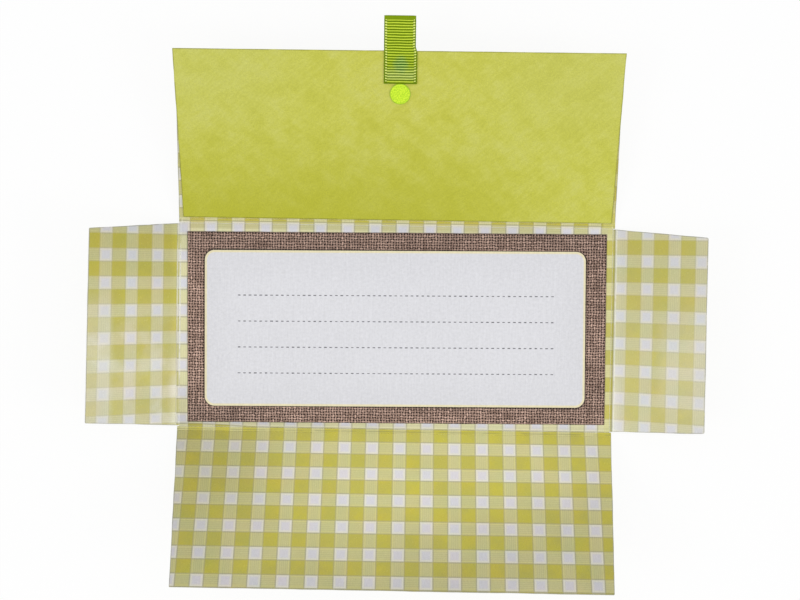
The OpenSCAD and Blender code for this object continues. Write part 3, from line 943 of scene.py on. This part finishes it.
linerLook = {**pastedSheet, "corners": ((0.42, -82.65), (65.25, -84.85), (64.9, 84.75), (0.60, 82.3)),
             "base": 0.25, "spacing": 7.0, "margin": (3.5, 6), "rounds": (0.12,) * 4, "waves": (0.16, 0.08, 0.20, 0.05),
             "seed": 71, "coats": ("lime", "gingham", "limeCore"), "slot": "liner_paper", "node": "flap_liner"}
makeSheet("flap_liner_sheet", linerLook, lambda p: (lime["centre"] - p.y, p.x, 0), folds["top"]["flap"], "top_flap")
print("liner made")


# The ribbon is folded double over the flap's free edge.

ribbonCut = {
    "end": 52.8, "tip": 78.02, "midHeight": 0.15, "leg": 0.575, "pinch": 0.235, "bulb": 0.36, "halfThick": 0.16,
    "flapEdge": 65.1, "halfWide": 5.92, "legWide": 6.2, "legShift": 0.34, "shift": 0.25, "plainFrom": 76.4,
    "legSpread": 0.04, "firstRib": 0.55, "points": 60, "arc": 12, "acrossSteps": 12, "thick": 0.17, "thin": 0.06,
    "loopsAt": (0.2, -0.72), "dotsAt": (-0.3, -0.16), "loopLean": 24, "pinchFrom": 0.8, "pinchOver": 4.5,
    "bulbOver": 2.5, "sidleTo": 1.5, "sidleOver": 2, "ribPoints": 28, "ribTaper": 16,
    "ribVary": ((0.93, 0.95, 0.995), (1.07, 1.03, 1.005)), "beadVary": ((0.85, 0.95, 0.85), (1.12, 1.02, 1.12)),
    # the ribs' wander: amount, then how quickly it changes along and across the ribbon, and its seed
    "wander": ((0.10, 0.35, 0.22, 2.0), (0.03, 1.3, 1.4, 6.0)),
}
ribSizes = {"Rib Pitch": 0.965, "Rib Width": 0.75, "Rib Height": 0.36, "Rib Length": 9.5, "Seed": 3}
beadSizes = {"Bead Pitch": 0.965, "Bead Across": 0.90, "Bead Along": 0.76, "Bead Height": 0.40, "Seed": 5}
dotSizes = {"Bead Pitch": 0.965, "Bead Across": 0.44, "Bead Along": 0.60, "Bead Height": 0.30, "Seed": 6}


def eased(t):
    return t * t * (3 - 2 * t)


def ribbonPath():  # the ribbon's middle line: out along the upper leg, back below
    cut, upper = ribbonCut, []
    tipX, count = cut["tip"] - cut["bulb"] - cut["halfThick"], cut["points"]
    for k in range(count + 1):
        x = cut["end"] + (tipX - cut["end"]) * k / count
        pinched = eased(clamped((x - cut["flapEdge"] - cut["pinchFrom"]) / cut["pinchOver"]))
        bulbed = eased(clamped((x - tipX + cut["bulbOver"]) / cut["bulbOver"]))
        near = cut["leg"] + (cut["pinch"] - cut["leg"]) * pinched
        upper.append((x, near + (cut["bulb"] - cut["pinch"]) * bulbed))
    arc = [(tipX + cut["bulb"] * math.sin(math.pi * k / cut["arc"]), cut["bulb"] * math.cos(math.pi * k / cut["arc"]))
           for k in range(1, cut["arc"])]
    lower = [(x, -h) for x, h in reversed(upper)]
    return [(x, cut["midHeight"] + h, 0) for x, h in upper + arc + lower]


def acrossAxis():  # path plane to the flap's own axes
    return Matrix(((1, 0, 0, 0), (0, 0, -1, -ribbonCut["shift"]), (0, 1, 0, 0), (0, 0, 0, 1)))


def sidle(x, height):  # the upper leg sits a little to one side
    cut, lean = ribbonCut, 0.0
    if height > cut["midHeight"]:
        lean = clamped((cut["flapEdge"] + cut["sidleTo"] - x) / cut["sidleOver"])
    return lean, cut["legShift"] * lean


def makeWeb():  # the thin ground of the ribbon, between its ribs
    path, cut = [Vector(p) for p in ribbonPath()], ribbonCut
    last, count = len(path) - 1, cut["acrossSteps"]
    points, folded = [], [here.x > cut["plainFrom"] for here in path]
    for k, here in enumerate(path):
        ahead = (path[min(k + 1, last)] - path[max(k - 1, 0)]).normalized()
        up = Vector((-ahead.y, ahead.x, 0))
        thick = cut["thick"] if folded[k] or min(k, last - k) < 2 else cut["thin"]
        spread, aside = sidle(here.x, here.y)
        wide = cut["halfWide"] + (cut["legWide"] - cut["halfWide"]) * spread
        for sign in (1, -1):
            for j in range(count + 1):
                at = sign * (2 * j / count - 1)
                rise = thick * sign * (1 if abs(at) < 0.99 else 0.7)
                points.append(here + up * rise + Vector((0, 0, wide * at + aside)))
    ring = 2 * (count + 1)
    ends = [list(reversed(range(ring))), list(range(last * ring, (last + 1) * ring))]
    mesh = newMesh("ribbon_web", points, faces=ringFaces(ring, last + 1) + ends, coats=("web", "fold"))
    for number, face in enumerate(mesh.polygons):
        k = number // ring
        face.material_index = 1 if k < last and folded[k] and folded[k + 1] else 0
    faceOut(mesh)
    return mesh


def woven(mesh):  # ribs never lie quite straight or level
    # each point's flank steepness, which the ribbon's finish paints as shade
    side = mesh.attributes.new("ribSide", "FLOAT", "POINT")
    for value, vertex in zip(side.data, mesh.vertices):
        value.value = abs(vertex.normal.x)
    for vertex in mesh.vertices:
        at = vertex.co
        lean, aside = sidle(at.x, at.y)
        at.z += aside + lean * ribbonCut["legSpread"] * at.z
        for amount, quickX, quickZ, seed in ribbonCut["wander"]:
            at.x += amount * noise.noise(Vector((at.x * quickX, at.z * quickZ, seed)))


def ribTree():
    board, source, size = newGrowth("ribbonRibs", ribSizes)
    low, high = (board.triple(0.0, 0.0, size["Rib Length"] * sign) for sign in (-0.5, 0.5))
    bar = board.node("GeometryNodeCurvePrimitiveLine", {"Start": low, "End": high})
    bar = board.node("GeometryNodeResampleCurve", {"Curve": bar, "Count": ribbonCut["ribPoints"]})
    taper = (1 - abs(board.node("GeometryNodeSplineParameter") * 2 - 1) ** ribbonCut["ribTaper"]) ** 0.5
    bar = board.node("GeometryNodeSetCurveRadius", {"Curve": bar, "Radius": taper})
    rib = moved(board, tube(board, bar, 10, 0.5), Scale=board.triple(size["Rib Width"], size["Rib Height"], 1.0))
    ribs = along(board, source, size["Rib Pitch"], rib, *ribbonCut["ribVary"], size["Seed"])
    return endGrowth(board, [ribs], "rib")


def beadTree(finish, lean):
    board, source, size = newGrowth("ribbonEdges", beadSizes)
    ball = board.node("GeometryNodeMeshUVSphere", {"Segments": 8, "Rings": 6, "Radius": 0.5})
    ball = moved(board, ball, Scale=board.triple(size["Bead Along"], size["Bead Height"], size["Bead Across"]))
    ball = moved(board, ball, Rotation=(0, math.radians(lean), 0))
    balls = along(board, source, size["Bead Pitch"], ball, *ribbonCut["beadVary"], size["Seed"])
    return endGrowth(board, [balls], finish)


def makeRibbon():
    cut, mid = ribbonCut, ribbonCut["midHeight"]
    ribbed = [p for p in ribbonPath() if cut["end"] + cut["firstRib"] < p[0] < cut["plainFrom"]]
    legs = [[p for p in ribbed if p[1] > mid], [p for p in ribbed if p[1] < mid]]

    def edgePath(name, sign, off):  # the legs' paths, moved out to one edge
        runs = [[(x + off[0], y, z + sign * (cut["halfWide"] + off[1])) for x, y, z in run] for run in legs]
        return pathMesh(name, runs)

    parts = {
        "ribbon_band": makeWeb(),
        "ribbon_ribs": grow("ribs", pathMesh("ribs", legs), ribTree(), ribSizes),
    }
    for sign, tag in ((-1, "right"), (1, "left")):
        parts["ribbon_loops_" + tag] = grow("loops", edgePath("loops", sign, cut["loopsAt"]),
                                            beadTree("bead", cut["loopLean"] * sign), beadSizes)
        parts["ribbon_dots_" + tag] = grow("dots", edgePath("dots", sign, cut["dotsAt"]),
                                           beadTree("fold", 0), dotSizes)
    for name, mesh in parts.items():
        if name != "ribbon_band":
            woven(mesh)
        mesh.transform(acrossAxis())
        addPlace(mesh, lambda p: (p.x, p.y, p.z), "ribbonPlace")
        shadeSmooth(mesh, angle=50)
        stands = ("ribbon_tab",) if name == "ribbon_band" else ()
        placePiece(name, mesh, folds["top"]["flap"], "top_flap", "ribbon", stands)


makeRibbon()
print("ribbon made")


# Each closure dot is a die-cut film with a soft rim and a slight crown, and its pile of hooks or loops.

dotLook = {"radius": 3.9, "film": 0.14, "crown": 0.03, "wobble": 0.006, "steps": 64}
pileSizes = {
    "hook": {"Gap": 0.46, "Radius": 0.085, "Wire": 0.034, "Seed": 9},
    "loop": {"Gap": 0.30, "Radius": 0.10, "Wire": 0.022, "Seed": 13},
}
pileLook = {
    "facing": 0.9, "above": 0.05, "densest": 40.0, "arcFrom": -50, "arcSteps": 8, "sides": 5, "raised": 0.95,
    "spin": ((-0.25, -0.25, 0), (0.25, 0.25, 6.283)), "size": (0.82, 1.0),
}
dotPlaces = {
    "hook": {"sweep": 250, "fold": "top", "at": (49.0, -0.58, 0.55), "turn": 0, "slot": "hook_plastic"},
    "loop": {"sweep": 300, "fold": "bottom", "at": (30.0, 0.58, -0.25), "turn": math.pi, "slot": "loop_fabric"},
}


def disc(name, finish):
    radius, film, crown, steps = (dotLook[key] for key in ("radius", "film", "crown", "steps"))
    profile = [(radius * 0.4, film + crown * 0.8), (radius * 0.8, film + crown * 0.25), (radius - 0.12, film),
               (radius - 0.04, film - 0.015), (radius, film - 0.05), (radius, 0.03), (radius - 0.03, 0),
               (radius * 0.5, 0)]
    points = []
    for r, z in profile:
        for k in range(steps):
            turn = 2 * math.pi * k / steps
            wave = noise.noise(Vector((math.cos(turn) * 1.6, math.sin(turn) * 1.6, radius)))
            reach = r * (1 + dotLook["wobble"] * wave)
            points.append((reach * math.cos(turn), reach * math.sin(turn), z))
    faces, top, last = ringFaces(steps, len(profile)), len(points), len(points) - steps
    points += [(0, 0, film + crown), (0, 0, 0)]
    for k in range(steps):
        after = (k + 1) % steps
        faces += [(top, k, after), (top + 1, last + after, last + k)]
    return newMesh(name, points, faces=faces, coats=(finish,))


def pileTree(name, sizes, sweep, finish):  # hooks or loops standing on a disc
    look, (board, source, size) = pileLook, newGrowth(name, sizes)
    height, level = (board.node("ShaderNodeSeparateXYZ", {0: board.node(node)}).out(2)
                     for node in ("GeometryNodeInputPosition", "GeometryNodeInputNormal"))
    spots = board.node("GeometryNodeDistributePointsOnFaces", {
        "Mesh": source, "Selection": (level > look["facing"]) * (height > look["above"]),
        "Distance Min": size["Gap"], "Density Max": look["densest"], "Seed": size["Seed"]},
        distribute_method="POISSON")
    arc = board.node("GeometryNodeCurveArc", {
        "Resolution": look["arcSteps"], "Radius": size["Radius"],
        "Start Angle": math.radians(look["arcFrom"]), "Sweep Angle": math.radians(sweep)})
    one = moved(board, tube(board, arc, look["sides"], size["Wire"]), Rotation=(math.radians(90), 0, 0),
                Translation=board.triple(0.0, 0.0, size["Radius"] * look["raised"]))
    spin = board.node("FunctionNodeRandomValue", {
        0: look["spin"][0], 1: look["spin"][1], "Seed": size["Seed"]}, data_type="FLOAT_VECTOR")
    vary = board.node("FunctionNodeRandomValue", {
        2: look["size"][0], 3: look["size"][1], "Seed": size["Seed"] + 1}, 1, data_type="FLOAT")
    pile = board.node("GeometryNodeInstanceOnPoints", {
        "Points": spots, "Instance": one, "Rotation": spin, "Scale": vary})
    return endGrowth(board, [source, pile], finish)


for kind, sizes in pileSizes.items():
    look = dotPlaces[kind]
    tree = pileTree(kind + "Pile", sizes, look["sweep"], kind)
    pile = grow(kind + "_dot_pile", disc(kind + "_film", kind), tree, sizes)
    addPlace(pile, flatPlace, "dotPlace")
    shadeSmooth(pile, angle=45)
    where = folds[look["fold"]]["flap"] @ Matrix.Translation(look["at"]) @ Matrix.Rotation(look["turn"], 4, "X")
    placePiece(kind + "_dot_disc", pile, where, look["fold"] + "_flap", look["slot"], (kind + "_dot",))
print("closure dots made")


# Tapes and glue keep the CAD's own solids.

carried = {"mat_tape": "tape", "label_tape": "tape", "liner_tape": "tape", "ribbon_glue": "glue",
           "hook_dot_adhesive": "glue", "loop_dot_adhesive": "glue"}
for name, finish in carried.items():
    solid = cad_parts[name]
    solid.data.materials.clear()
    solid.data.materials.append(finishes[finish])
print("tapes and glue finished:", len(carried))
